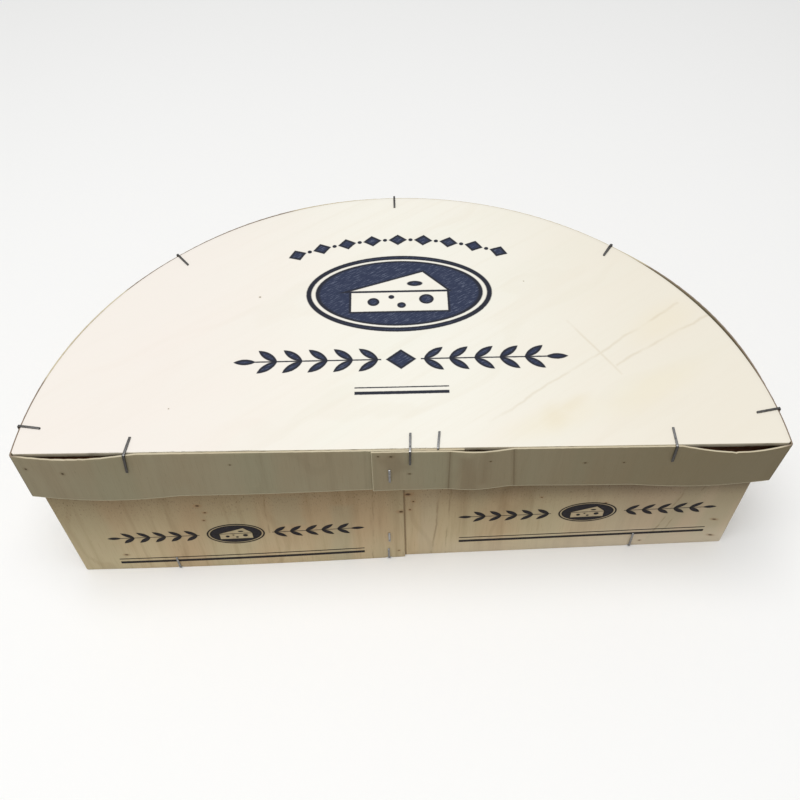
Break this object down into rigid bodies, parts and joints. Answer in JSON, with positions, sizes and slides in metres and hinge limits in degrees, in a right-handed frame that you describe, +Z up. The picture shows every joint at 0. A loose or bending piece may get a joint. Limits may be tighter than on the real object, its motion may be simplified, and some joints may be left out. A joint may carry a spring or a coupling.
{
  "type": "half-round wooden cheese box",
  "caption": "Shut half-round box of thin poplar veneer: a tub under a lid whose flat panel sits in a bent rim, held by folded wire staples. Packs a half disc of soft cheese.",
  "frame": {"origin": "middle of the underside of the box's bounding box, on the surface it stands on", "axes": "+X along the straight front, to the right as seen from the front; +Y from the front to the arc; +Z up"},
  "size_m": [0.3302, 0.1714, 0.1006],
  "materials": {
    "tub_wood": "raw rotary-cut poplar, upright grain, dark ink print",
    "panel_wood": "raw smooth poplar ply, pale, dark ink print",
    "rim_wood": "raw poplar veneer, upright grain, cut edges paler",
    "staple_steel": "dull galvanised flat wire"
  },
  "bodies": {
    "root": {"tub": "tub_wood", "lid_panel": "panel_wood", "lid_rim": "rim_wood", "staple_foot_arc_left": "staple_steel", "staple_foot_arc_middle": "staple_steel", "staple_foot_arc_right": "staple_steel", "staple_foot_arc_upper_left": "staple_steel", "staple_foot_arc_upper_right": "staple_steel", "staple_foot_front_left": "staple_steel", "staple_foot_front_middle": "staple_steel", "staple_foot_front_right": "staple_steel", "staple_lid_arc_left": "staple_steel", "staple_lid_arc_middle": "staple_steel", "staple_lid_arc_right": "staple_steel", "staple_lid_arc_upper_left": "staple_steel", "staple_lid_arc_upper_right": "staple_steel", "staple_lid_front_left": "staple_steel", "staple_lid_front_middle": "staple_steel", "staple_lid_front_right": "staple_steel", "staple_lid_front_tucked": "staple_steel", "staple_rim_lap": "staple_steel", "staple_tub_seam": "staple_steel"}
  },
  "joints": []
}
